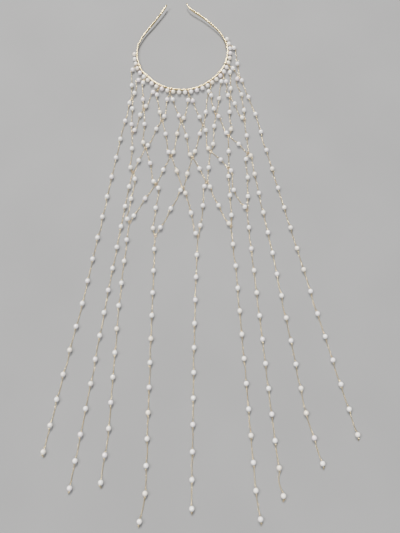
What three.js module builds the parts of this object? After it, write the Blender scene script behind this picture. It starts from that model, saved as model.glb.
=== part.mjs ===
// A head chain laid out flat: an open gold hair band, pearls round the outside of its front,
// and a net of pearl chains that hangs from the band and ends in loose strands.
// Millimetres, +Z up. The net lies on z = 0 and runs away from the band along -Y.
import * as THREE from "three";

// Pearls and the small gap kept between neighbouring pieces
const PEARL_RADIUS = 2.6;
const PEARL_SIDES = 10;
const PEARL_BELT = 1.05; // half the width of a pearl's widest part, along its chain
const CLEARANCE = 0.3;
const LIE_HEIGHT = PEARL_RADIUS; // everything is centred on the pearls' middle height

// Band: a strip standing on edge
const BAND_HEIGHT = 3.4;
const BAND_THICKNESS = 1.1;
const BAND_CHAMFER = 0.35;
const BAND_STEPS = 38;
const BAND_SAMPLES = 2000; // how finely the band's length is measured
const BAND_PEARLS = 29;
const BAND_PEARL_START = 87.5; // along the band, from the left tip to the first pearl
const BAND_PEARL_PITCH = 7.12;
const BAND_PEARL_OFFSET = BAND_THICKNESS / 2 + CLEARANCE + PEARL_RADIUS;

// Oval rings round the band that the chains hang from
const RING_WIRE_RADIUS = 0.25;
const RING_RADIUS = PEARL_RADIUS - RING_WIRE_RADIUS;
const RING_STRETCH = 2.8; // how much longer than round the ring is
const RING_WIRE_SIDES = 5;
const RING_SIDES = 10;
const RING_REACH = RING_STRETCH + PEARL_RADIUS; // from the band's middle to the ring's outer end

// Chains
const CHAIN_RADIUS = 0.6;
const CHAIN_SIDES = 5;
const CHAIN_APART = 1.1; // half the distance between two chains on one ring
const CHAIN_STUB = 0.8; // the first stretch of a chain, straight out from its ring
const JUNCTION_APART = 0.85; // half the distance between two chains where they are tied
const JUNCTION_RESERVE = 0.3; // how far short of a junction a chain that ends there stops
const TIE_ZONE = 10; // pearls this close to a junction are pushed aside by their neighbours
const PEARL_ASIDE = PEARL_RADIUS + CLEARANCE;
const TIE_CLEAR = PEARL_RADIUS + 0.5; // a tie closer to a pearl than this leaves no corner
const END_EYE = 2.4; // the wire eye below the last pearl of a loose strand
const PEARL_FACE = Math.sqrt(PEARL_RADIUS ** 2 - CHAIN_RADIUS ** 2);

// The middle of the strip from the left tip, round the front, to the right tip.
// The plain arms rise a little off the surface towards their tips.
const BAND_LINE = [
  { x: -44, y: 369, rise: 2.8 },
  { x: -48, y: 361, rise: 2.5 },
  { x: -60, y: 341, rise: 1.7 },
  { x: -73, y: 321, rise: 0.8 },
  { x: -80, y: 304, rise: 0.2 },
  { x: -81, y: 291, rise: 0 },
  { x: -79, y: 278, rise: 0 },
  { x: -74, y: 265, rise: 0 },
  { x: -64, y: 254, rise: 0 },
  { x: -54, y: 245, rise: 0 },
  { x: -41, y: 239, rise: 0 },
  { x: -26, y: 236, rise: 0 },
  { x: -12, y: 237, rise: 0 },
  { x: 2, y: 242, rise: 0 },
  { x: 14, y: 251, rise: 0 },
  { x: 24, y: 261, rise: 0 },
  { x: 31, y: 273, rise: 0 },
  { x: 35, y: 288, rise: 0 },
  { x: 35, y: 302, rise: 0 },
  { x: 31, y: 316, rise: 0.2 },
  { x: 24, y: 328, rise: 0.7 },
  { x: 5, y: 348, rise: 1.7 },
  { x: -14, y: 364, rise: 2.5 },
  { x: -18, y: 372, rise: 2.8 },
];

// Each ring sits in the gap after this band pearl, counted from the left
const RING_AFTER_PEARL = [3, 6, 9, 11, 14, 18, 21, 23, 27];

// Where two chains are tied together: rows a to d run down the net, numbered from the left
const JUNCTIONS = {
  a0: { x: -85, y: 225 },
  a1: { x: -70, y: 209 },
  a2: { x: -47, y: 192 },
  a3: { x: -23, y: 192 },
  a4: { x: 4, y: 186 },
  a5: { x: 20, y: 200 },
  a6: { x: 38, y: 225 },
  a7: { x: 50, y: 256 },
  b0: { x: -83, y: 174 },
  b1: { x: -66, y: 153 },
  b2: { x: -35, y: 142 },
  b3: { x: -9, y: 141 },
  b4: { x: 13, y: 150 },
  b5: { x: 35, y: 171 },
  b6: { x: 55, y: 193 },
  c0: { x: -80, y: 120 },
  c1: { x: -52, y: 105 },
  c2: { x: -20, y: 99 },
  c3: { x: 8, y: 107 },
  c4: { x: 34, y: 126 },
  c5: { x: 58, y: 146 },
  d0: { x: -81, y: 56 },
  d1: { x: -51, y: 38 },
  d2: { x: -2, y: 38 },
  d3: { x: 36, y: 51 },
  d4: { x: 55, y: 73 },
};

// Chains that start on a ring. side is the chain's place on its ring. first is its first pearl's
// place, next the distance to the second pearl and pitch the distance between the others. route
// names its junctions with the side it passes each on.
const HUNG_CHAINS = [
  { ring: 1, side: 0, first: [-86, 267], next: 24, pitch: 26.3, pearls: 19, route: "a0-" },
  { ring: 2, side: -1, first: [-78, 251], next: 20, pitch: 23, pearls: 4, route: "a0+ b0-" },
  { ring: 2, side: 1, first: [-72, 247], next: 25, pitch: 23.1, pearls: 4, route: "a1- b0+" },
  { ring: 3, side: -1, first: [-59, 233], next: 23, pitch: 26, pearls: 19, route: "a1+ b1- c0+ d0-" },
  { ring: 3, side: 1, first: [-54, 229], next: 26, pitch: 25.4, pearls: 8, route: "a2- b1+ c1- d0+" },
  { ring: 4, side: -1, first: [-41, 222], next: 25, pitch: 25.8, pearls: 20, route: "a2+ b2- c1+ d1-" },
  { ring: 4, side: 1, first: [-34, 222], next: 25, pitch: 26.6, pearls: 8, route: "a3- b2+ c2- d1+" },
  { ring: 5, side: -1, first: [-15, 221], next: 27, pitch: 26.5, pearls: 19, route: "a3+ b3- c2+ d2-" },
  { ring: 5, side: 1, first: [-9, 220], next: 25, pitch: 25.3, pearls: 8, route: "a4- b3+ c3- d2+" },
  { ring: 6, side: -1, first: [11, 234], next: 31, pitch: 26.2, pearls: 20, route: "a4+ b4- c3+ d3-" },
  { ring: 6, side: 1, first: [14, 228], next: 20, pitch: 25.4, pearls: 8, route: "a5- b4+ c4- d3+" },
  { ring: 7, side: -1, first: [27, 249], next: 26, pitch: 26.2, pearls: 20, route: "a5+ b5- c4+ d4-" },
  { ring: 7, side: 1, first: [33, 249], next: 21, pitch: 24.8, pearls: 8, route: "a6- b5+ c5- d4+" },
  { ring: 8, side: -1, first: [38, 263], next: 25, pitch: 23, pearls: 4, route: "a6+ b6-" },
  { ring: 8, side: 1, first: [42, 269], next: 18, pitch: 23.5, pearls: 4, route: "a7- b6+" },
  { ring: 9, side: 0, first: [44, 301], next: 25, pitch: 26.2, pearls: 20, route: "a7+" },
];

// Chains that start where two others end, at the junction named by from; reach is how far along
// the first pearl lies
const TIED_CHAINS = [
  { from: "b0", reach: 22, next: 26, pitch: 25.8, pearls: 16, route: "c0-" },
  { from: "b6", reach: 23, next: 28, pitch: 25.5, pearls: 16, route: "c5+" },
];

// Bends inside the net, by the junction above each one
const BENDS = {
  "c3+": [[21, 77]],
  "c4+": [[39, 97]],
};

// The bends of the loose strands below the net, by the last junction each one passes; the last
// point lies just past the last pearl
const TAILS = {
  "a0-": [[-97, 164], [-129, -44], [-144, -122], [-159, -207]],
  "c0-": [[-101, -25], [-114, -129], [-130, -243]],
  "d0-": [[-89, -46], [-93, -176], [-99, -236]],
  "d1-": [[-52, -4], [-54, -237], [-60, -270]],
  "d2-": [[-6, -66], [-8, -224], [-8, -260]],
  "d3-": [[40, 1], [55, -235], [60, -270]],
  "d4-": [[58, 23], [76, -189], [83, -250]],
  "c5+": [[65, 116], [82, 16], [109, -160], [125, -219]],
  "a7+": [[68, 203], [92, 98], [128, -55], [162, -190]],
};

const GOLD = { color: 0xe3c68f, metalness: 1, roughness: 0.25 };
const PEARL = { color: 0xf2ebe4, metalness: 0, roughness: 0.3 };

function piece(name, geometry, finish) {
  const mesh = new THREE.Mesh(geometry, new THREE.MeshStandardMaterial(finish));
  mesh.name = name;
  return mesh;
}

// How far along the band the middle of a pearl, or of the gap after it, lies
const pearlDistance = (number) => BAND_PEARL_START + (number - 1) * BAND_PEARL_PITCH;
const gapAfter = (number) => (pearlDistance(number) + pearlDistance(number + 1)) / 2;

const twoDigits = (number) => String(number).padStart(2, "0");

function bandCurve() {
  const points = BAND_LINE.map(({ x, y, rise }) => new THREE.Vector3(x, y, LIE_HEIGHT + rise));
  const curve = new THREE.CatmullRomCurve3(points);
  curve.arcLengthDivisions = BAND_SAMPLES;
  return curve;
}

// The point of the band at a distance from its left tip, and the level direction out of the loop
function bandFrame(curve, distance) {
  const share = distance / curve.getLength();
  const tangent = curve.getTangentAt(share);
  const along = new THREE.Vector3(tangent.x, tangent.y, 0).normalize();
  const outward = new THREE.Vector3(along.y, -along.x, 0);
  return { middle: curve.getPointAt(share), along, outward };
}

// A six-sided section, flat inside and out, with a ridge along its top and bottom edges
function band(curve) {
  const half = BAND_THICKNESS / 2;
  const shoulder = BAND_HEIGHT / 2 - BAND_CHAMFER;
  const section = new THREE.Shape([
    new THREE.Vector2(-BAND_HEIGHT / 2, 0),
    new THREE.Vector2(-shoulder, -half),
    new THREE.Vector2(shoulder, -half),
    new THREE.Vector2(BAND_HEIGHT / 2, 0),
    new THREE.Vector2(shoulder, half),
    new THREE.Vector2(-shoulder, half),
  ]);
  const geometry = new THREE.ExtrudeGeometry(section, {
    steps: BAND_STEPS,
    extrudePath: curve,
    bevelEnabled: false,
  });
  return piece("band", geometry, GOLD);
}

// Two belts of full radius joined to a point at each pole
function bandPearl(number, frame) {
  const profile = [
    new THREE.Vector2(0, -PEARL_RADIUS),
    new THREE.Vector2(PEARL_RADIUS, -PEARL_BELT),
    new THREE.Vector2(PEARL_RADIUS, PEARL_BELT),
    new THREE.Vector2(0, PEARL_RADIUS),
  ];
  const pearl = piece(
    "band_pearl_" + twoDigits(number),
    new THREE.LatheGeometry(profile, PEARL_SIDES),
    PEARL,
  );
  pearl.geometry.rotateX(Math.PI / 2);
  pearl.position.copy(frame.middle).addScaledVector(frame.outward, BAND_PEARL_OFFSET);
  pearl.rotation.z = Math.atan2(frame.outward.y, frame.outward.x);
  return pearl;
}

// A round ring pulled out to an oval, upright, with the band inside its inner end
function hangerRing(number, frame) {
  const geometry = new THREE.TorusGeometry(
    RING_RADIUS,
    RING_WIRE_RADIUS,
    RING_WIRE_SIDES,
    RING_SIDES,
  );
  const position = geometry.attributes.position;
  for (let i = 0; i < position.count; i++) {
    if (position.getX(i) > 0) position.setX(i, position.getX(i) + RING_STRETCH);
  }
  geometry.rotateX(Math.PI / 2);
  const ring = piece("hanger_ring_" + number, geometry, GOLD);
  ring.position.copy(frame.middle);
  ring.rotation.z = Math.atan2(frame.outward.y, frame.outward.x);
  return ring;
}

// Where a chain starts on a ring: just past the ring's outer end, beside its neighbour
function ringStart(frame, side) {
  return frame.middle
    .clone()
    .addScaledVector(frame.outward, RING_REACH + CLEARANCE)
    .addScaledVector(frame.along, side * CHAIN_APART)
    .setZ(LIE_HEIGHT);
}

const level = (x, y) => new THREE.Vector3(x, y, LIE_HEIGHT);

// A chain with no tail ends at its last junction
const tailOf = (chain) => TAILS[chain.route.split(" ").at(-1)];

// The corners of a chain's path through its junctions and along its tail
function pathOf(start, chain) {
  const levelPoints = (points) => (points ?? []).map(([x, y]) => ({ point: level(x, y) }));
  const corners = chain.route.split(" ").flatMap((stop) => {
    const { x, y } = JUNCTIONS[stop.slice(0, -1)];
    const side = stop.endsWith("+") ? 1 : -1;
    const corner = { point: level(x + side * JUNCTION_APART, y), tie: { x, side } };
    return [corner, ...levelPoints(BENDS[stop])];
  });
  return [{ point: start, fixed: true }, ...corners, ...levelPoints(tailOf(chain))];
}

// The point at a distance along straight stretches, and the distances of their corners
function measure(path) {
  const distances = [0];
  for (let i = 1; i < path.length; i++) {
    distances.push(distances[i - 1] + path[i].point.distanceTo(path[i - 1].point));
  }
  const at = (distance) => {
    const i = Math.max(1, distances.findIndex((d) => d >= distance));
    const share = (distance - distances[i - 1]) / (distances[i] - distances[i - 1]);
    return path[i - 1].point.clone().lerp(path[i].point, share);
  };
  return { distances, at };
}

// Where a pearl lies: on its chain's path, or beside the tie that it would otherwise touch
function pearlPlace(path, distances, at, distance) {
  const point = at(distance);
  path.forEach(({ tie }, i) => {
    if (!tie || Math.abs(distance - distances[i]) > TIE_ZONE) return;
    const aside = Math.max((point.x - tie.x) * tie.side, PEARL_ASIDE);
    point.setX(tie.x + aside * tie.side);
  });
  return point;
}

// A chain's stops in order: its fixed start, its pearls, the ties between them, and its end
function stopsOf(path, firstDistance, chain) {
  const { distances, at } = measure(path);
  const stops = path
    .map(({ point, fixed }, i) => ({ point, fixed, distance: distances[i] }))
    .filter(({ fixed }) => fixed);
  for (let i = 0; i < chain.pearls; i++) {
    const later = i ? chain.next + (i - 1) * chain.pitch : 0;
    const distance = firstDistance + later;
    stops.push({ point: pearlPlace(path, distances, at, distance), distance, pearl: true });
  }
  const lastPearl = stops.at(-1);
  path.forEach(({ point, tie }, i) => {
    const clear = stops.every((s) => Math.abs(s.distance - distances[i]) > TIE_CLEAR);
    if (tie && clear && distances[i] < lastPearl.distance) {
      stops.push({ point, distance: distances[i] });
    }
  });
  const end = tailOf(chain)
    ? lastPearl.distance + PEARL_RADIUS + END_EYE
    : distances.at(-1) - JUNCTION_RESERVE;
  stops.push({ point: at(end), distance: end });
  return stops.sort((a, b) => a.distance - b.distance);
}

// A ring of points square to a level direction, with one corner at the bottom
function ringOfPoints(middle, direction, radius, sides) {
  const across = new THREE.Vector3(-direction.y, direction.x, 0);
  return Array.from({ length: sides }, (_, i) => {
    const angle = (2 * Math.PI * i) / sides;
    return middle
      .clone()
      .addScaledVector(across, radius * Math.sin(angle))
      .setZ(middle.z - radius * Math.cos(angle));
  });
}

// The rings of points that a chain's skin is stretched over
function sectionsOf(stops) {
  const sections = [];
  const add = (middle, direction, radius, sides) =>
    sections.push(ringOfPoints(middle, direction, radius, sides));
  stops.forEach((stop, i) => {
    const before = stops[Math.max(i - 1, 0)].point;
    const after = stops[Math.min(i + 1, stops.length - 1)].point;
    const arriving = stop.point.clone().sub(before).normalize();
    const leaving = after.clone().sub(stop.point).normalize();
    const direction = arriving.clone().add(leaving).normalize();
    if (!stop.pearl) {
      add(stop.point, direction, CHAIN_RADIUS, CHAIN_SIDES);
      return;
    }
    const place = (way, reach) => stop.point.clone().addScaledVector(way, reach);
    add(place(arriving, -PEARL_FACE), arriving, CHAIN_RADIUS, CHAIN_SIDES);
    add(place(direction, -PEARL_BELT), direction, PEARL_RADIUS, PEARL_SIDES);
    add(place(direction, PEARL_BELT), direction, PEARL_RADIUS, PEARL_SIDES);
    add(place(leaving, PEARL_FACE), leaving, CHAIN_RADIUS, CHAIN_SIDES);
  });
  return sections;
}

// The triangles between two rings of points, where one may have twice the points of the other
function between(first, second, firstStart, secondStart) {
  const faces = [];
  const few = Math.min(first, second);
  for (let i = 0; i < few; i++) {
    const j = (i + 1) % few;
    if (first === second) {
      faces.push([firstStart + i, firstStart + j, secondStart + i]);
      faces.push([firstStart + j, secondStart + j, secondStart + i]);
    } else if (first > second) {
      const [a, b, c] = [2 * i, 2 * i + 1, (2 * i + 2) % first].map((k) => firstStart + k);
      faces.push([a, b, secondStart + i]);
      faces.push([b, secondStart + j, secondStart + i]);
      faces.push([b, c, secondStart + j]);
    } else {
      const [a, b, c] = [2 * i, 2 * i + 1, (2 * i + 2) % second].map((k) => secondStart + k);
      faces.push([firstStart + i, b, a]);
      faces.push([firstStart + i, firstStart + j, b]);
      faces.push([firstStart + j, c, b]);
    }
  }
  return faces;
}

// A closed skin over rings of points, with flat ends
function skin(sections) {
  const starts = [];
  let count = 0;
  for (const section of sections) {
    starts.push(count);
    count += section.length;
  }
  const faces = [];
  for (let i = 1; i < sections.length; i++) {
    faces.push(...between(sections[i - 1].length, sections[i].length, starts[i - 1], starts[i]));
  }
  const lastStart = starts.at(-1);
  for (let i = 1; i < sections[0].length - 1; i++) faces.push([0, i + 1, i]);
  for (let i = 1; i < sections.at(-1).length - 1; i++) {
    faces.push([lastStart, lastStart + i, lastStart + i + 1]);
  }
  const geometry = new THREE.BufferGeometry().setFromPoints(sections.flat());
  geometry.setIndex(faces.flat());
  geometry.computeVertexNormals();
  return geometry;
}

function pearlChain(number, path, firstDistance, chain) {
  const stops = stopsOf(path, firstDistance, chain);
  return piece("pearl_chain_" + twoDigits(number), skin(sectionsOf(stops)), PEARL);
}

function hungChain(number, frames, chain) {
  const frame = frames[chain.ring - 1];
  const start = ringStart(frame, chain.side);
  const knee = start.clone().addScaledVector(frame.outward, CHAIN_STUB);
  const first = level(...chain.first);
  const path = pathOf(start, chain);
  path.splice(1, 0, { point: knee, fixed: true }, { point: first });
  return pearlChain(number, path, CHAIN_STUB + knee.distanceTo(first), chain);
}

function tiedChain(number, chain) {
  const { x, y } = JUNCTIONS[chain.from];
  return pearlChain(number, pathOf(level(x, y - JUNCTION_RESERVE), chain), chain.reach, chain);
}

function headChain() {
  const group = new THREE.Group();
  const curve = bandCurve();
  group.add(band(curve));
  for (let number = 1; number <= BAND_PEARLS; number++) {
    group.add(bandPearl(number, bandFrame(curve, pearlDistance(number))));
  }
  const frames = RING_AFTER_PEARL.map((pearl) => bandFrame(curve, gapAfter(pearl)));
  frames.forEach((frame, i) => group.add(hangerRing(i + 1, frame)));
  HUNG_CHAINS.forEach((chain, i) => group.add(hungChain(i + 1, frames, chain)));
  TIED_CHAINS.forEach((chain, i) => group.add(tiedChain(HUNG_CHAINS.length + i + 1, chain)));
  return group;
}

// The origin is the middle of the whole piece's outline, on the surface it lies on
const chain = headChain();
const outline = new THREE.Box3().setFromObject(chain);
const middle = outline.getCenter(new THREE.Vector3());
chain.position.set(-middle.x, -middle.y, -outline.min.z);

export default chain;
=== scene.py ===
"""A head chain laid flat: an open hair band edged with pearls, and a net of pearl chains that hangs
from the band and ends in loose strands. The drawing is in millimetres, with x to the right and y
towards the band's open ends. in_frame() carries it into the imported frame, in metres."""

import bpy
import numpy as np
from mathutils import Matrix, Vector


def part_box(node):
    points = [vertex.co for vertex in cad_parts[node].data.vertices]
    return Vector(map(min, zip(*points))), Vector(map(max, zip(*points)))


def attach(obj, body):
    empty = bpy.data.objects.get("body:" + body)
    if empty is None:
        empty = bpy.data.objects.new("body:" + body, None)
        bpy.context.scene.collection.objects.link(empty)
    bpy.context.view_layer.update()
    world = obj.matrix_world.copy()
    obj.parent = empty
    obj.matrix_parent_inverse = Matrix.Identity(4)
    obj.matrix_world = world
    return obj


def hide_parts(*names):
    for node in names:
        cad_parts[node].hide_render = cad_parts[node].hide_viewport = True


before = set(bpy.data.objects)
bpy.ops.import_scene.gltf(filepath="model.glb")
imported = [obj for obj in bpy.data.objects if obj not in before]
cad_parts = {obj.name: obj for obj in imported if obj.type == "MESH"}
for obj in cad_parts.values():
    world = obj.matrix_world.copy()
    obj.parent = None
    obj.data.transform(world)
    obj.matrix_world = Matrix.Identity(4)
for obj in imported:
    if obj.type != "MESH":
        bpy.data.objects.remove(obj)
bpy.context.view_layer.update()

MM = 0.001
UP = np.array([0.0, 0.0, 1.0])
QUARTER_TURN = np.pi / 2
DECIMALS = 6  # numbers that agree to this many places count as the same
dice = np.random.default_rng(11)

# Pearls, which all lie with their middles at the same height
PEARL_RADIUS = 2.6
LIE_HEIGHT = PEARL_RADIUS
CLEARANCE = 0.3

# Band: a strip standing on edge
BAND_HEIGHT = 3.4
BAND_THICKNESS = 1.1
BAND_TIP = 1.7  # how long the rounding of each tip is
BAND_ROUNDNESS = 2 / 3  # the power that makes the strip's section a rounded oblong
BAND_STATIONS = 260
BAND_CROWDING = 0.6  # how much closer the stations stand near the tips, as a share
BAND_SIDES = 20
BAND_LINE_STEPS = 90  # steps of the band's line between two of its places
BAND_AIM = 0.2  # the band's direction is taken from this far behind to this far ahead
TIP_LEAST = 0.001  # a tip's section never shrinks to nothing
BAND_PEARLS = 29
BAND_PEARL_START = 87.5  # along the band, from the left tip to the first pearl
BAND_PEARL_PITCH = 7.12
BAND_PEARL_OFFSET = BAND_THICKNESS / 2 + CLEARANCE + PEARL_RADIUS
BAND_PEARL_FACES = (20, 14)  # round it and from pole to pole
PEG_RADIUS = 0.45
PEG_SIDES = 10

# Oval rings round the band that the chains hang from
RING_WIRE = 0.25
RING_RADIUS = PEARL_RADIUS - RING_WIRE
RING_STRETCH = 2.8  # how much longer than round the ring is
RING_REACH = RING_STRETCH + PEARL_RADIUS  # from the band's middle to the ring's outer end
RING_FACES = (24, 8)  # round the ring and round its wire

# Chains
CHAIN_STUB = 0.8  # the first stretch of a chain, straight out from its ring
CHAIN_APART = 1.1  # half the distance between two chains just past their ring
JUNCTION_APART = 0.85  # half the distance between two chains where they are tied
JUNCTION_RESERVE = 0.3  # between a junction and the chain that starts below it
TIE_ZONE = 10  # pearls this close to a junction are pushed aside by their neighbours
PEARL_ASIDE = PEARL_RADIUS + CLEARANCE
PEARL_FACES = (16, 10)  # round it and from pole to pole
PEARL_TINT = (0.48, 0.2)  # mean and spread of the tint, from cream at 0 to rose at 1

# Wire eyes at both ends of each pearl
EYE_WIRE = 0.2
EYE_RADIUS = 0.65
EYE_STEM = 0.15  # between the pearl and the middle of its eye's wire
EYE_REACH = PEARL_RADIUS + EYE_RADIUS + EYE_STEM  # from the pearl's middle to the eye's
EYE_TWIST = 0.35  # an eye is turned about its chain by up to this, in radians
EYE_FACES = (12, 5)  # round the eye and round its wire

# Links of the fine chain between the eyes, measured to the middle of their wire
LINK_WIRE = 0.16
LINK_LENGTH = 1.33
LINK_WIDTH = 0.83
LINK_ADVANCE = 0.95  # from one link's middle to the next one's
LINK_TO_EYE = 0.93  # from an eye's middle to its first link's
LINK_SWAY = 0.06  # how much a link's turn strays, in radians
LINK_FACES = (8, 5)
FLOOR_HEIGHT = 0.62  # the fine chain's middle where it lies on the surface
TOUCHDOWN = 4.5  # how far from where it is held the chain comes down to the surface
RING_SPREAD = 0.4  # how far apart, up and down, two chains hook on one ring
SLACK = 0.015  # how far a stretch of fine chain strays sideways, as a share of its length
RUN_STEPS = 6  # steps of the fine chain's line in each millimetre
RUN_LEAST = 12  # the fewest steps a stretch has

# The few links left over below a strand's last pearl
LOOSE_LINKS = 3
LOOSE_TURN = 0.7  # how far to either side they point, in radians
LOOSE_REACH = 4  # how far out their line runs
LOOSE_TOUCHDOWN = 1.6  # how far from the eye it comes down to the surface

# Small rings that tie two chains together, leaning back a little
TIE_WIRE = 0.28
TIE_RADIUS = 1.45
TIE_LEAN = np.pi / 4
TIE_APART = 0.5  # half the distance between two chains inside their tie
TIE_GAP = 0.1
TIE_CLEAR = TIE_RADIUS + TIE_WIRE + TIE_GAP + PEARL_RADIUS  # from a tie's middle to a pearl's
TIE_HOOK = 1.2  # how far past a tie's middle the last link of a chain that ends there lies
TIE_HOOK_RISE = 1.05  # and how far above it. One that starts there is as far before and below
TIE_TURN_STRAY = 0.12  # how much a tie turns to one side, as a slope
TIE_LEAN_STRAY = 0.1  # how much its lean strays, in radians
TIE_FACES = (16, 6)

BAND_LINE = [  # the middle of the strip: x, y and how far it rises off the surface
    (-44, 369, 2.8),
    (-48, 361, 2.5),
    (-60, 341, 1.7),
    (-73, 321, 0.8),
    (-80, 304, 0.2),
    (-81, 291, 0),
    (-79, 278, 0),
    (-74, 265, 0),
    (-64, 254, 0),
    (-54, 245, 0),
    (-41, 239, 0),
    (-26, 236, 0),
    (-12, 237, 0),
    (2, 242, 0),
    (14, 251, 0),
    (24, 261, 0),
    (31, 273, 0),
    (35, 288, 0),
    (35, 302, 0),
    (31, 316, 0.2),
    (24, 328, 0.7),
    (5, 348, 1.7),
    (-14, 364, 2.5),
    (-18, 372, 2.8),
]

# Each ring sits in the gap after this band pearl, counted from the left
RING_AFTER_PEARL = [3, 6, 9, 11, 14, 18, 21, 23, 27]

# Where two chains are tied together: rows a to d run down the net, numbered from the left
JUNCTIONS = {
    "a0": (-85, 225), "a1": (-70, 209), "a2": (-47, 192), "a3": (-23, 192),
    "a4": (4, 186), "a5": (20, 200), "a6": (38, 225), "a7": (50, 256),
    "b0": (-83, 174), "b1": (-66, 153), "b2": (-35, 142), "b3": (-9, 141),
    "b4": (13, 150), "b5": (35, 171), "b6": (55, 193),
    "c0": (-80, 120), "c1": (-52, 105), "c2": (-20, 99), "c3": (8, 107),
    "c4": (34, 126), "c5": (58, 146),
    "d0": (-81, 56), "d1": (-51, 38), "d2": (-2, 38), "d3": (36, 51), "d4": (55, 73),
}

# Chains that start on a ring. first is the first pearl's place, next the distance to the second
# pearl and pitch the distance between the others. route names the junctions that the chain passes,
# with the side it passes each on.
HUNG_CHAINS = [
    dict(ring=1, side=0, first=(-86, 267), next=24, pitch=26.3, pearls=19, route="a0-"),
    dict(ring=2, side=-1, first=(-78, 251), next=20, pitch=23, pearls=4, route="a0+ b0-"),
    dict(ring=2, side=1, first=(-72, 247), next=25, pitch=23.1, pearls=4, route="a1- b0+"),
    dict(ring=3, side=-1, first=(-59, 233), next=23, pitch=26, pearls=19, route="a1+ b1- c0+ d0-"),
    dict(ring=3, side=1, first=(-54, 229), next=26, pitch=25.4, pearls=8, route="a2- b1+ c1- d0+"),
    dict(ring=4, side=-1, first=(-41, 222), next=25, pitch=25.8, pearls=20, route="a2+ b2- c1+ d1-"),
    dict(ring=4, side=1, first=(-34, 222), next=25, pitch=26.6, pearls=8, route="a3- b2+ c2- d1+"),
    dict(ring=5, side=-1, first=(-15, 221), next=27, pitch=26.5, pearls=19, route="a3+ b3- c2+ d2-"),
    dict(ring=5, side=1, first=(-9, 220), next=25, pitch=25.3, pearls=8, route="a4- b3+ c3- d2+"),
    dict(ring=6, side=-1, first=(11, 234), next=31, pitch=26.2, pearls=20, route="a4+ b4- c3+ d3-"),
    dict(ring=6, side=1, first=(14, 228), next=20, pitch=25.4, pearls=8, route="a5- b4+ c4- d3+"),
    dict(ring=7, side=-1, first=(27, 249), next=26, pitch=26.2, pearls=20, route="a5+ b5- c4+ d4-"),
    dict(ring=7, side=1, first=(33, 249), next=21, pitch=24.8, pearls=8, route="a6- b5+ c5- d4+"),
    dict(ring=8, side=-1, first=(38, 263), next=25, pitch=23, pearls=4, route="a6+ b6-"),
    dict(ring=8, side=1, first=(42, 269), next=18, pitch=23.5, pearls=4, route="a7- b6+"),
    dict(ring=9, side=0, first=(44, 301), next=25, pitch=26.2, pearls=20, route="a7+"),
]

# Chains that start where two others end. reach is how far along the first pearl lies.
TIED_CHAINS = [
    dict(start="b0", reach=22, next=26, pitch=25.8, pearls=16, route="c0-"),
    dict(start="b6", reach=23, next=28, pitch=25.5, pearls=16, route="c5+"),
]

# Bends inside the net, by the junction above each one
BENDS = {"c3+": [(21, 77)], "c4+": [(39, 97)]}

# The bends of the loose strands, by the last junction each one passes
TAILS = {
    "a0-": [(-97, 164), (-129, -44), (-144, -122), (-159, -207)],
    "c0-": [(-101, -25), (-114, -129), (-130, -243)],
    "d0-": [(-89, -46), (-93, -176), (-99, -236)],
    "d1-": [(-52, -4), (-54, -237), (-60, -270)],
    "d2-": [(-6, -66), (-8, -224), (-8, -260)],
    "d3-": [(40, 1), (55, -235), (60, -270)],
    "d4-": [(58, 23), (76, -189), (83, -250)],
    "c5+": [(65, 116), (82, 16), (109, -160), (125, -219)],
    "a7+": [(68, 203), (92, 98), (128, -55), (162, -190)],
}

# How far the last stretch of a strand bows to the left, by the last junction it passes
LAST_BOWS = {"d4-": 2.0}

# Finishes. Colours are linear: red, green and blue
CREAM, WHITE, ROSE = (0.91, 0.79, 0.60), (0.92, 0.90, 0.87), (0.88, 0.76, 0.80)
WHITE_TINT = 0.45  # the tint at which a pearl is white
PEARL_GLOSS = {
    "IOR": 1.9,
    "Coat Weight": 1.0,
    "Coat Roughness": 0.08,
    "Subsurface Weight": 0.12,
    "Subsurface Radius": (1.0, 0.8, 0.7),
    "Subsurface Scale": MM,
}
NOISE_SPAN = (0.35, 0.65)  # a noise below the first gives the low value, above the second the high
BUMP_DEPTH = 0.1 * MM
FLOOR_GREYS = (0.175, 0.188)
FLOOR_ROUGHNESS = 0.7
SKY_COLOUR = (0.8, 0.82, 0.85)
SKY_STRENGTH = 0.38

# Lights: where each shines from, how wide it is in radians, its strength and its colour
LAMPS = [
    dict(name="key", place=(-0.15, 1.0, 1.1), spread=0.3, strength=6.6, colour=(1.0, 0.98, 0.95)),
    dict(name="side", place=(-1.0, 0.1, 1.2), spread=0.3, strength=3.1, colour=(1.0, 0.99, 0.97)),
    dict(name="fill", place=(0.4, -1.1, 1.5), spread=0.9, strength=2.2, colour=(0.97, 0.98, 1.0)),
]

FLOOR_HALF = 20.0  # half the floor's side, in metres

# Camera, in the drawing: where it stands and what it looks at
CAMERA_PLACE = (0, -224.9, 620.6)
CAMERA_TARGET = (0, 0, LIE_HEIGHT)
CAMERA_LENS = 39.68


def unit(vectors):
    """Vectors divided by their own lengths."""
    return vectors / np.linalg.norm(vectors, axis=-1, keepdims=True)


def run_of(points):
    """How far along a path each of its points lies: the running sum of its steps."""
    steps = np.linalg.norm(np.diff(points, axis=0), axis=1)
    return np.concatenate([[0.0], np.cumsum(steps)])


def point_at(path, run, distance):
    """The points of a path at given distances along it, each coordinate interpolated on its own."""
    return np.stack([np.interp(distance, run, column) for column in path.T], axis=-1)


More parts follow.
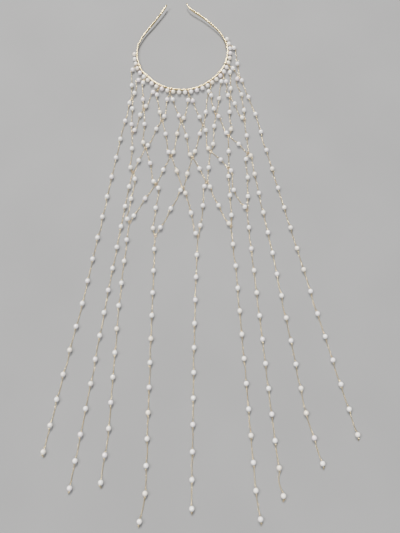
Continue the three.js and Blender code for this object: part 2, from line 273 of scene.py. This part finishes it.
def smooth_curve(table, steps):
    """A smooth curve through points: each stretch is a cubic whose slopes at its two ends come from
    its neighbours, weighted by the square roots of the distances between the points."""
    p = np.asarray(table, float)
    p = np.vstack([2 * p[0] - p[1], p, 2 * p[-1] - p[-2]])
    roots = np.sqrt(np.linalg.norm(np.diff(p, axis=0), axis=1))[:, None]
    p0, p1, p2, p3 = p[:-3], p[1:-2], p[2:-1], p[3:]
    d0, d1, d2 = roots[:-2], roots[1:-1], roots[2:]
    slope1 = d1 * ((p1 - p0) / d0 - (p2 - p0) / (d0 + d1) + (p2 - p1) / d1)
    slope2 = d1 * ((p2 - p1) / d1 - (p3 - p1) / (d1 + d2) + (p3 - p2) / d2)
    t = np.linspace(0, 1, steps, endpoint=False)[None, :, None]
    a, b, s, e = (x[:, None] for x in (p1, p2, slope1, slope2))
    points = a + s * t + (3 * (b - a) - 2 * s - e) * t**2 + (2 * (a - b) + s + e) * t**3
    return np.vstack([points.reshape(-1, p.shape[1]), p[-2:-1]])


def level_out(along):
    """The level directions to the right of the band's line, which point out of its loop."""
    return unit(np.stack([along[:, 1], -along[:, 0], np.zeros(len(along))], axis=1))


def grid_quads(rows, columns, wrap_rows=False):
    """Quads between each row of points and the next; the columns close round on themselves."""
    i = np.arange(rows if wrap_rows else rows - 1)[:, None]
    j = np.arange(columns)[None, :]
    below, right = (i + 1) % rows, (j + 1) % columns
    corners = (i * columns + j, i * columns + right, below * columns + right, below * columns + j)
    return np.stack(corners, axis=-1).reshape(-1, 4)


def outward(points, faces):
    """The faces turned so that the shape's volume, the sum of the volumes between each face and the
    origin, is positive."""
    fans = np.concatenate([f[:, [0, k, k + 1]] for f in faces for k in range(1, f.shape[1] - 1)])
    a, b, c = (points[fans[:, k]] for k in range(3))
    inside_out = np.einsum("ij,ij->", a, np.cross(b, c)) < 0
    return points, [f[:, ::-1] for f in faces] if inside_out else faces


def capped(rows, first_tip, last_tip):
    """Rings of points joined in order, with a fan of triangles from each end ring to its tip."""
    count, sides, _ = rows.shape
    points = np.vstack([rows.reshape(-1, 3), first_tip, last_tip])
    j = np.arange(sides)
    right = (j + 1) % sides
    start = np.stack([np.full(sides, count * sides), right, j], axis=1)
    last = (count - 1) * sides
    end = np.stack([np.full(sides, count * sides + 1), last + j, last + right], axis=1)
    return outward(points, [grid_quads(count, sides), start, end])


def ball(radius, around, along):
    """A sphere with its poles on x. At a turn a from pole to pole and a turn b round the axis, a
    point is the radius times (-cos a, sin a cos b, sin a sin b)."""
    a = np.linspace(0, np.pi, along + 1)[1:-1, None]
    b = np.linspace(0, 2 * np.pi, around, endpoint=False)[None, :]
    rows = radius * np.stack([-np.cos(a) + 0 * b, np.sin(a) * np.cos(b), np.sin(a) * np.sin(b)], axis=-1)
    pole = np.array([[radius, 0.0, 0.0]])
    return capped(rows, -pole, pole)


def rod(start, end, radius, sides):
    """A round rod along x between two places."""
    b = np.linspace(0, 2 * np.pi, sides, endpoint=False)
    ring = radius * np.stack([0 * b, np.cos(b), np.sin(b)], axis=1)
    shift = np.array([[start, 0.0, 0.0], [end, 0.0, 0.0]])
    return capped(ring[None] + shift[:, None], shift[:1], shift[1:])


def wire_ring(length, width, wire, around, sides):
    """An oval ring of wire in its own x-y plane. At a turn u round the ring the wire's middle is
    half the width times (cos u, sin u), moved out along x by half of what the length is more than
    the width, and at a turn v round the wire the surface stands off by the wire's radius, by cos v
    of it outwards and sin v of it upwards."""
    u = np.linspace(0, 2 * np.pi, around, endpoint=False)
    v = np.linspace(0, 2 * np.pi, sides, endpoint=False)[None, :, None]
    out = np.round(np.stack([np.cos(u), np.sin(u), 0 * u], axis=1), DECIMALS)
    middle = out * width / 2 + np.sign(out) * [(length - width) / 2, 0, 0]
    points = middle[:, None] + wire * (np.cos(v) * out[:, None] + np.sin(v) * UP)
    return outward(points.reshape(-1, 3), [grid_quads(around, sides, wrap_rows=True)])


def axes_along(directions, rolls):
    """Three axes for each copy of a shape: x along its direction, y level and square to that, then
    turned about x by the roll, and z square to both."""
    x = unit(directions)
    level = unit(np.cross(UP, x))
    raised = np.cross(x, level)
    rolls = np.asarray(rolls)[:, None]
    y = np.cos(rolls) * level + np.sin(rolls) * raised
    return np.stack([x, y, np.cross(x, y)], axis=1)


def copies(shape, centres, axes):
    """A shape once for each centre, with its x, y and z laid along that copy's three axes."""
    points, faces = shape
    placed = centres[:, None] + np.einsum("pk,nkd->npd", points, axes)
    shift = np.arange(len(centres))[:, None, None] * len(points)
    return placed.reshape(-1, 3), [(f[None] + shift).reshape(-1, f.shape[1]) for f in faces]


def together(shapes):
    """Several shapes as one: their points in order, and their faces counted on from each other."""
    starts = np.cumsum([0] + [len(points) for points, _ in shapes])
    faces = [f + start for (_, groups), start in zip(shapes, starts) for f in groups]
    return np.vstack([points for points, _ in shapes]), faces


band_curve = smooth_curve(BAND_LINE, BAND_LINE_STEPS) + [0, 0, LIE_HEIGHT]
band_run = run_of(band_curve)


def band_frames(distances):
    """The band's middle, and the directions along it and out of its loop, at some distances."""
    middle = point_at(band_curve, band_run, distances)
    ahead = point_at(band_curve, band_run, np.minimum(distances + BAND_AIM, band_run[-1]))
    behind = point_at(band_curve, band_run, np.maximum(distances - BAND_AIM, 0))
    along = unit((ahead - behind) * [1, 1, 0])
    return middle, along, level_out(along)


def band_pearl_distance(number):
    """How far along the band a pearl sits: the start plus a pitch for each pearl before it."""
    return BAND_PEARL_START + (np.asarray(number) - 1) * BAND_PEARL_PITCH


pearl_middles, pearl_along, pearl_out = band_frames(band_pearl_distance(np.arange(1, BAND_PEARLS + 1)))
band_pearl_places = pearl_middles + BAND_PEARL_OFFSET * pearl_out
ring_middles, ring_along, ring_out = band_frames(band_pearl_distance(np.array(RING_AFTER_PEARL) + 0.5))


def drawing_origin():
    """Where the drawing's origin lies in the frame: the mean step from each band pearl's place in
    the drawing to the middle of its node's box."""
    steps = []
    for number, place in enumerate(band_pearl_places, 1):
        low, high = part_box(f"band_pearl_{number:02d}")
        steps.append(np.array((low + high) / 2) - place * MM)
    return np.mean(steps, axis=0)


ORIGIN = drawing_origin()


def in_frame(points):
    """Points of the drawing in the frame: millimetres made metres, plus the origin's place."""
    return np.asarray(points) * MM + ORIGIN


# Where the pearls and ties of every chain lie

def path_corners(start, chain):
    """The corners of a chain's path in the plane: its start, its junctions and bends, its tail."""
    corners = list(start)
    for stop in chain["route"].split():
        x, y = JUNCTIONS[stop[:-1]]
        corners += [(x + side_of(stop) * JUNCTION_APART, y), *BENDS.get(stop, [])]
    return np.array(corners + TAILS.get(last_stop(chain), []), float)


def side_of(stop):
    """The side a junction is passed on: 1 for right and -1 for left."""
    return 1 if stop.endswith("+") else -1


def last_stop(chain):
    """The last junction of a chain, with its side."""
    return chain["route"].split()[-1]


def pearl_places(start, first_distance, chain):
    """The pearls of a chain: evenly along its path, but beside the tie that they would touch."""
    path = path_corners(start, chain)
    run = run_of(path)
    later = chain["next"] + np.arange(chain["pearls"] - 1) * chain["pitch"]
    distances = first_distance + np.concatenate([[0.0], later])
    places = point_at(path, run, distances)
    for stop in chain["route"].split():
        (x, y), side = JUNCTIONS[stop[:-1]], side_of(stop)
        passing = run[np.argmin(np.hypot(path[:, 0] - x, path[:, 1] - y))]
        near = np.abs(distances - passing) <= TIE_ZONE
        aside = np.maximum((places[near, 0] - x) * side, PEARL_ASIDE)
        places[near, 0] = x + aside * side
    return places


def hung_start(chain):
    """The fixed first corners of a chain on a ring, in the plane."""
    i = chain["ring"] - 1
    out, along = ring_out[i, :2], ring_along[i, :2]
    start = ring_middles[i, :2] + out * (RING_REACH + CLEARANCE) + along * chain["side"] * CHAIN_APART
    return [start, start + out * CHAIN_STUB, np.array(chain["first"], float)]


def tied_start(chain):
    """The fixed first corner of a tied chain, just below its junction, in the plane."""
    x, y = JUNCTIONS[chain["start"]]
    return [np.array([x, y - JUNCTION_RESERVE])]


def all_pearls():
    """Every chain with its pearls' places: those on the rings first, then the tied ones."""
    found = []
    for chain in HUNG_CHAINS:
        start = hung_start(chain)
        reach = CHAIN_STUB + np.linalg.norm(start[2] - start[1])
        found.append((chain, pearl_places(start, reach, chain)))
    for chain in TIED_CHAINS:
        found.append((chain, pearl_places(tied_start(chain), chain["reach"], chain)))
    return found


def tie_places(chains):
    """Each tie at its junction, or as little above or below as it takes to clear the pearls."""
    pearls = np.vstack([places for _, places in chains])
    ties = {}
    for name, (x, y) in JUNCTIONS.items():
        sideways = np.abs(pearls[:, 0] - x)
        near = (sideways < TIE_CLEAR) & (np.abs(pearls[:, 1] - y) < 2 * TIE_CLEAR)
        heights = pearls[near, 1]
        keep_off = np.sqrt(TIE_CLEAR**2 - sideways[near] ** 2)
        choices = np.concatenate([[y], heights - keep_off, heights + keep_off])
        free = np.all(np.abs(choices[:, None] - heights) >= keep_off - 10.0**-DECIMALS, axis=1)
        best = choices[free][np.argmin(np.abs(choices[free] - y))]
        ties[name] = np.array([x, best, TIE_WIRE + TIE_RADIUS * np.sin(TIE_LEAN)])
    return ties


def chain_stops(chain, pearls, ties):
    """What a chain runs through, from top to bottom: rows of place, kind and roll."""
    stops = [(np.append(place, LIE_HEIGHT), "pearl", 0.0) for place in pearls]
    route = chain["route"].split()
    passed = route if last_stop(chain) in TAILS else route[:-1]
    stops += [(ties[s[:-1]] + [side_of(s) * TIE_APART, 0, 0], "tie", 0.0) for s in passed]
    stops.sort(key=lambda stop: -stop[0][1])
    hook = np.array([0, TIE_HOOK, TIE_HOOK_RISE])
    if "ring" in chain:
        i = chain["ring"] - 1
        top = ring_middles[i] + ring_out[i] * (RING_REACH - CLEARANCE / 2)
        top = top + [0, 0, chain["side"] * RING_SPREAD]
        stops.insert(0, (top, "held", QUARTER_TURN))
    else:
        stops.insert(0, (ties[chain["start"]] - hook, "held", 0.0))
    if last_stop(chain) not in TAILS:
        last = route[-1]
        end = ties[last[:-1]] + hook + [side_of(last) * TIE_APART, 0, 0]
        stops.append((end, "held", 0.0))
    return stops


def pearl_axes(stops):
    """The way each pearl's wire points: between the stop before and the stop after, each counted
    by one over the square root of its distance."""
    places = np.array([place for place, _, _ in stops])
    steps = np.diff(places, axis=0) * [1, 1, 0]
    lengths = np.linalg.norm(steps, axis=1, keepdims=True)
    pulls = steps / lengths / np.sqrt(lengths)
    ahead, behind = np.vstack([pulls, pulls[-1:]]), np.vstack([pulls[:1], pulls])
    return unit(ahead + behind)


def lying_run(held, bow, touchdown):
    """A fine closely stepped line through held places. Between them it runs straight in the plane,
    but for half a wave of the bow's height to the left. Its own height is the surface's, plus for
    each held place what that is higher, times the square of one less the distance from it in
    touchdowns."""
    plan = held * [1, 1, 0]
    run = run_of(plan)
    s = np.linspace(0, run[-1], max(RUN_LEAST, int(run[-1] * RUN_STEPS)))
    line = point_at(plan, run, s)
    left = unit(np.cross(plan[-1] - plan[0], UP))
    line += bow * np.sin(np.pi * s / run[-1])[:, None] * left
    nearness = np.clip(1 - np.abs(s[:, None] - run) / touchdown, 0, None) ** 2
    line[:, 2] = FLOOR_HEIGHT + np.max(nearness * (held[:, 2] - FLOOR_HEIGHT), axis=1)
    return line


def slack_bow(held):
    """A small bow at random for a stretch between two pearls, and none through a tie."""
    stray = dice.normal(0, SLACK) * np.linalg.norm(held[-1] - held[0])
    return stray if len(held) == 2 else 0.0


def links_between(held, trims, rolls, bow):
    """Middles, directions and rolls of the links of one stretch of chain. An odd number of them
    fits between the trimmed ends, each a quarter turn on from the last."""
    line = lying_run(held, bow, TOUCHDOWN)
    run = run_of(line)
    free = run[-1] - trims[0] - trims[1]
    pairs = max(0, round(free / LINK_ADVANCE / 2))
    share = np.linspace(0, 1, 2 * pairs + 1) if pairs else np.array([0.5])
    s = trims[0] + share * max(free, 0)
    middles = point_at(line, run, s)
    reach = LINK_ADVANCE / 2
    directions = point_at(line, run, s + reach) - point_at(line, run, s - reach)
    turns = rolls[0] + (rolls[1] - rolls[0]) * share + QUARTER_TURN * (1 + np.arange(len(share)))
    return middles, directions, turns + dice.normal(0, LINK_SWAY, len(share))


def loose_end(eye, along, twist):
    """The links that hang from a strand's last eye, down to the surface and out along it, a little
    to one side."""
    turn = dice.uniform(-LOOSE_TURN, LOOSE_TURN)
    outwards = np.cos(turn) * along + np.sin(turn) * np.cross(UP, along)
    line = lying_run(np.stack([eye, (eye + LOOSE_REACH * outwards) * [1, 1, 0]]), 0.0, LOOSE_TOUCHDOWN)
    run = run_of(line)
    counts = np.arange(LOOSE_LINKS)
    s = LINK_TO_EYE + counts * LINK_ADVANCE
    reach = LINK_ADVANCE / 2
    directions = point_at(line, run, s + reach) - point_at(line, run, s - reach)
    return point_at(line, run, s), directions, twist + QUARTER_TURN * (1 + counts)


def chain_parts(chain, pearls, ties):
    """A chain's pearls, and its eyes and links, each as middles, directions and rolls."""
    stops = chain_stops(chain, pearls, ties)
    axes = pearl_axes(stops)
    is_pearl = [kind == "pearl" for _, kind, _ in stops]
    places = np.array([place for place, _, _ in stops])[is_pearl]
    axes = axes[is_pearl]
    twists = dice.uniform(-EYE_TWIST, EYE_TWIST, (len(places), 2))
    before, after = places - axes * EYE_REACH, places + axes * EYE_REACH
    eyes = (np.vstack([before, after]), np.vstack([axes, axes]), twists.T.ravel())

    links = []
    held, trim, roll, number = [], 0.0, 0.0, 0
    for place, kind, own_roll in stops:
        if kind == "pearl":
            held.append(before[number])
            bow = slack_bow(held)
            if number == len(places) - 1:
                bow = LAST_BOWS.get(last_stop(chain), bow)
            ends = (trim, LINK_TO_EYE), (roll, twists[number, 0])
            links.append(links_between(np.array(held), *ends, bow))
            held, trim, roll = [after[number]], LINK_TO_EYE, twists[number, 1]
            number += 1
        elif kind == "held" and held:
            held.append(place)
            links.append(links_between(np.array(held), (trim, 0.0), (roll, own_roll), 0.0))
        else:
            held.append(place)
            roll = own_roll if kind == "held" else roll
    if last_stop(chain) in TAILS:
        links.append(loose_end(after[-1], axes[-1], twists[-1, 1]))
    links = tuple(np.concatenate(part) for part in zip(*links))
    return (places, axes, twists[:, 0]), eyes, links


# Finishes

def material(name):
    """A new material, with its nodes, its links and its shader."""
    made = bpy.data.materials.new(name)
    made.use_nodes = True
    nodes, links = made.node_tree.nodes, made.node_tree.links
    return made, nodes, links, nodes["Principled BSDF"]


def noise_between(nodes, links, scale, detail, low, high):
    """A colour or grey that wanders between two values with a noise in object coordinates."""
    place = nodes.new("ShaderNodeTexCoord")
    noise = nodes.new("ShaderNodeTexNoise")
    noise.inputs["Scale"].default_value = scale
    noise.inputs["Detail"].default_value = detail
    links.new(place.outputs["Object"], noise.inputs["Vector"])
    ramp = nodes.new("ShaderNodeValToRGB")
    for stop, position, value in zip(ramp.color_ramp.elements, NOISE_SPAN, (low, high)):
        stop.position = position
        stop.color = (*value, 1)
    links.new(noise.outputs["Fac"], ramp.inputs["Fac"])
    return ramp.outputs["Color"], noise.outputs["Fac"]


def fine_bump(nodes, links, shader, height, strength):
    """A faint relief on a shader's surface, as deep as its height times its strength."""
    bump = nodes.new("ShaderNodeBump")
    bump.inputs["Strength"].default_value = strength
    bump.inputs["Distance"].default_value = BUMP_DEPTH
    links.new(height, bump.inputs["Height"])
    links.new(bump.outputs["Normal"], shader.inputs["Normal"])


def grey(value):
    """A grey as a colour of three equal numbers."""
    return (value, value, value)


def polished_gold(name, low, high, smooth, rough, grain):
    """Gold plate: its tone drifts a little along the metal, and fine wear of the given grain varies
    its polish from smooth to rough."""
    made, nodes, links, shader = material(name)
    tone, _ = noise_between(nodes, links, scale=60, detail=2, low=low, high=high)
    polish, wear = noise_between(nodes, links, scale=grain, detail=4, low=grey(smooth), high=grey(rough))
    links.new(tone, shader.inputs["Base Color"])
    links.new(polish, shader.inputs["Roughness"])
    fine_bump(nodes, links, shader, height=wear, strength=0.03)
    shader.inputs["Metallic"].default_value = 1.0
    return made


def pearl_lustre(name):
    """Imitation pearl: each pearl's own tint runs from cream over white to rose, its coat is
    slightly uneven, and light goes a little way in."""
    made, nodes, links, shader = material(name)
    own = nodes.new("ShaderNodeAttribute")
    own.attribute_name = "tint"
    ramp = nodes.new("ShaderNodeValToRGB")
    ramp.color_ramp.elements[0].color = (*CREAM, 1)
    ramp.color_ramp.elements[1].color = (*ROSE, 1)
    white = ramp.color_ramp.elements.new(WHITE_TINT)
    white.color = (*WHITE, 1)
    links.new(own.outputs["Fac"], ramp.inputs["Fac"])
    cloud, _ = noise_between(nodes, links, scale=500, detail=3, low=grey(0.94), high=grey(1.0))
    mix = nodes.new("ShaderNodeMixRGB")
    mix.blend_type = "MULTIPLY"
    mix.inputs["Fac"].default_value = 1.0
    links.new(ramp.outputs["Color"], mix.inputs["Color1"])
    links.new(cloud, mix.inputs["Color2"])
    links.new(mix.outputs["Color"], shader.inputs["Base Color"])
    polish, skin = noise_between(nodes, links, scale=900, detail=3, low=grey(0.30), high=grey(0.40))
    links.new(polish, shader.inputs["Roughness"])
    fine_bump(nodes, links, shader, height=skin, strength=0.06)
    for socket, value in PEARL_GLOSS.items():
        shader.inputs[socket].default_value = value
    return made


def pale_floor(name):
    """A plain pale matt surface."""
    made, nodes, links, shader = material(name)
    low, high = (grey(value) for value in FLOOR_GREYS)
    tone, _ = noise_between(nodes, links, scale=8, detail=2, low=low, high=high)
    links.new(tone, shader.inputs["Base Color"])
    shader.inputs["Roughness"].default_value = FLOOR_ROUGHNESS
    return made


band_gold = polished_gold(
    "band_gold", low=(0.78, 0.60, 0.24), high=(0.85, 0.68, 0.32), smooth=0.15, rough=0.22, grain=400)
chain_gold = polished_gold(
    "chain_gold", low=(0.72, 0.57, 0.27), high=(0.81, 0.66, 0.35), smooth=0.16, rough=0.26, grain=2500)
tie_gold = polished_gold(
    "tie_gold", low=(0.88, 0.62, 0.33), high=(0.92, 0.69, 0.39), smooth=0.15, rough=0.25, grain=2500)
pearl_skin = pearl_lustre("pearl_skin")


# Pieces

def piece(name, shape, finish, replaces, tints=None):
    """A mesh piece of the head chain, on the part's one body. tints holds one number a pearl."""
    points, faces = shape
    mesh = bpy.data.meshes.new(name)
    mesh.from_pydata(in_frame(points).tolist(), [], [f for group in faces for f in group.tolist()])
    mesh.shade_smooth()
    mesh.materials.append(finish)
    if tints is not None:
        tint = mesh.attributes.new("tint", "FLOAT", "POINT")
        tint.data.foreach_set("value", np.repeat(tints, len(points) // len(tints)).astype(np.float32))
    made = bpy.data.objects.new(name, mesh)
    bpy.context.scene.collection.objects.link(made)
    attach(made, "root")
    if replaces:
        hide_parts(*replaces)
    return made


def hair_band():
    """A rounded oblong carried along the band's line. At a turn t round it, a point stands off by
    half the thickness times the power of cos t, and half the height times the power of sin t. Near
    the tips all of it shrinks as a circle's height does, and the sections stand closer together, by
    a share of one sine wave along the band."""
    s = np.linspace(0, 1, BAND_STATIONS)
    distances = band_run[-1] * (s - np.sin(2 * np.pi * s) / (2 * np.pi) * BAND_CROWDING)
    middle, _, out = band_frames(distances)
    to_end = np.minimum(distances, band_run[-1] - distances)
    shrink = np.sqrt(1 - (1 - np.clip(to_end / BAND_TIP, TIP_LEAST, 1)) ** 2)[:, None, None]
    t = np.linspace(0, 2 * np.pi, BAND_SIDES, endpoint=False)
    thick = BAND_THICKNESS / 2 * np.sign(np.cos(t)) * np.abs(np.cos(t)) ** BAND_ROUNDNESS
    tall = BAND_HEIGHT / 2 * np.sign(np.sin(t)) * np.abs(np.sin(t)) ** BAND_ROUNDNESS
    section = thick[None, :, None] * out[:, None] + tall[None, :, None] * UP
    rows = middle[:, None] + shrink * section
    return piece("hair_band", capped(rows, middle[:1], middle[-1:]), band_gold, ["band"])


def band_pearls():
    """The pearls side by side round the front, and the short pegs that hold them to the band."""
    turns = dice.uniform(0, np.pi, BAND_PEARLS)
    axes = axes_along(pearl_along, turns)
    nodes = [f"band_pearl_{i:02d}" for i in range(1, BAND_PEARLS + 1)]
    tints = dice.uniform(0, 1, BAND_PEARLS)
    row = copies(ball(PEARL_RADIUS, *BAND_PEARL_FACES), band_pearl_places, axes)
    piece("front_pearls", row, pearl_skin, nodes, tints)
    peg = rod(0, BAND_PEARL_OFFSET - PEARL_RADIUS + CLEARANCE, PEG_RADIUS, PEG_SIDES)
    pegs = copies(peg, pearl_middles, axes_along(pearl_out, np.zeros(BAND_PEARLS)))
    piece("front_pearl_pegs", pegs, band_gold, [])


def hanger_rings():
    """Oval rings standing upright, with the band inside their inner ends."""
    length = 2 * RING_RADIUS + RING_STRETCH
    ring = wire_ring(length, 2 * RING_RADIUS, RING_WIRE, *RING_FACES)
    centres = ring_middles + ring_out * RING_STRETCH / 2
    axes = axes_along(ring_out, np.full(len(centres), QUARTER_TURN))
    nodes = [f"hanger_ring_{i}" for i in range(1, len(centres) + 1)]
    piece("hanger_rings", copies(ring, centres, axes), tie_gold, nodes)


def tie_rings(ties):
    """Round rings leaning back, so that two chains pass through each."""
    ring = wire_ring(2 * TIE_RADIUS, 2 * TIE_RADIUS, TIE_WIRE, *TIE_FACES)
    centres = np.array(list(ties.values()))
    across = [1.0, 0, 0] + dice.normal(0, TIE_TURN_STRAY, (len(centres), 1)) * [0, 1.0, 0]
    lean = TIE_LEAN + dice.normal(0, TIE_LEAN_STRAY, len(centres))
    centres[:, 2] = TIE_WIRE + TIE_RADIUS * np.sin(lean)
    piece("tie_rings", copies(ring, centres, axes_along(across, lean)), tie_gold, [])


def pearl_chains(chains, ties):
    """Each chain: its pearls stand for the node, and its eyes and links are a second piece."""
    pearl = ball(PEARL_RADIUS, *PEARL_FACES)
    eye = wire_ring(2 * EYE_RADIUS, 2 * EYE_RADIUS, EYE_WIRE, *EYE_FACES)
    link = wire_ring(LINK_LENGTH, LINK_WIDTH, LINK_WIRE, *LINK_FACES)
    for number, (chain, places) in enumerate(chains, 1):
        pearls, eyes, links = chain_parts(chain, places, ties)
        name = f"pearl_chain_{number:02d}"
        strung = copies(pearl, pearls[0], axes_along(*pearls[1:]))
        tints = np.clip(dice.normal(*PEARL_TINT, len(places)), 0, 1)
        piece(f"strung_pearls_{number:02d}", strung, pearl_skin, [name], tints)
        wires = together([copies(eye, eyes[0], axes_along(*eyes[1:])),
                          copies(link, links[0], axes_along(*links[1:]))])
        piece(f"fine_chain_{number:02d}", wires, chain_gold, [])


hair_band()
band_pearls()
hanger_rings()
chains = all_pearls()
ties = tie_places(chains)
tie_rings(ties)
pearl_chains(chains, ties)


# Floor, light and camera

def floor():
    """The surface that the head chain lies on: one square, level with the frame's bottom."""
    corners = FLOOR_HALF * np.array([(-1, -1, 0), (1, -1, 0), (1, 1, 0), (-1, 1, 0)])
    mesh = bpy.data.meshes.new("floor")
    mesh.from_pydata(corners.tolist(), [], [(0, 1, 2, 3)])
    mesh.materials.append(pale_floor("pale_floor"))
    made = bpy.data.objects.new("floor", mesh)
    bpy.context.scene.collection.objects.link(made)


def soft_lamp(name, place, spread, strength, colour):
    """An even light from the direction of a place, as wide as its spread in radians."""
    lamp = bpy.data.lights.new(name, "SUN")
    lamp.angle = spread
    lamp.energy = strength
    lamp.color = colour
    made = bpy.data.objects.new(name, lamp)
    bpy.context.scene.collection.objects.link(made)
    made.location = place
    made.rotation_euler = (-Vector(place)).to_track_quat("-Z", "Y").to_euler()


def soft_light():
    """The lamps, and an even grey all round."""
    for lamp in LAMPS:
        soft_lamp(**lamp)
    world = bpy.data.worlds.new("soft_grey")
    world.use_nodes = True
    background = world.node_tree.nodes["Background"]
    background.inputs["Color"].default_value = (*SKY_COLOUR, 1)
    background.inputs["Strength"].default_value = SKY_STRENGTH
    bpy.context.scene.world = world


def camera():
    """The camera at its place in the frame, turned to its target."""
    made = bpy.data.objects.new("camera", bpy.data.cameras.new("camera"))
    bpy.context.scene.collection.objects.link(made)
    made.data.lens = CAMERA_LENS
    place, target = Vector(in_frame(CAMERA_PLACE)), Vector(in_frame(CAMERA_TARGET))
    made.location = place
    made.rotation_euler = (target - place).to_track_quat("-Z", "Y").to_euler()
    bpy.context.scene.camera = made


floor()
soft_light()
camera()
